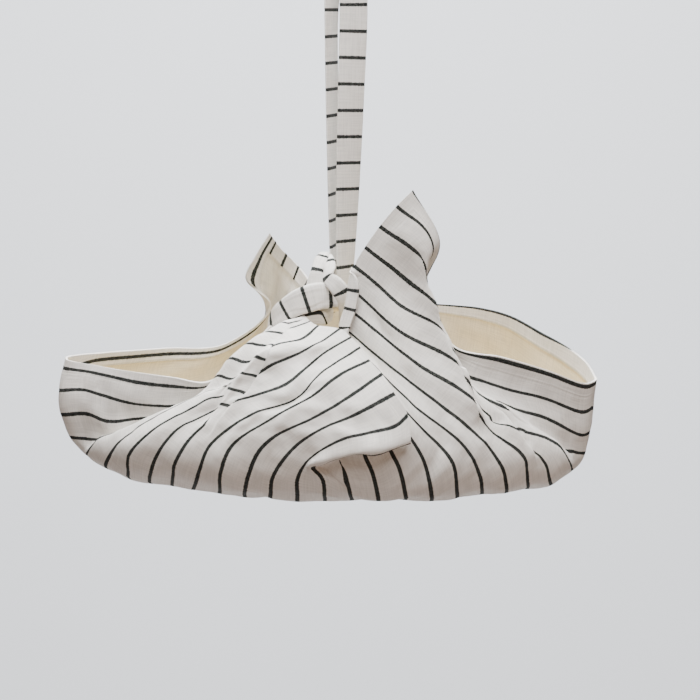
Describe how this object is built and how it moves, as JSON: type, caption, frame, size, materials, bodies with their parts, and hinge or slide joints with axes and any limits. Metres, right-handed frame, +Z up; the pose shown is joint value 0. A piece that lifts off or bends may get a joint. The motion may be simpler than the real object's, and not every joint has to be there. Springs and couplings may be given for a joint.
{
  "type": "picnic bag",
  "caption": "Soft bag knotted from a striped cloth, open on either side of its knot, hanging from a long doubled strap.",
  "frame": {"origin": "the point on the inside of the strap's loop, at its top, where a hook bears", "axes": "Z up, X along the bag from its left mouth to its right mouth, Y from the front to the back; the front is at -Y"},
  "size_m": [0.5389, 0.2918, 0.6023],
  "materials": {
    "body_cloth": "matte woven canvas with narrow dark stripes",
    "strap": "matte woven canvas with narrow dark stripes"
  },
  "bodies": {
    "root": {"body_cloth": "body_cloth", "strap": "strap"}
  },
  "joints": []
}
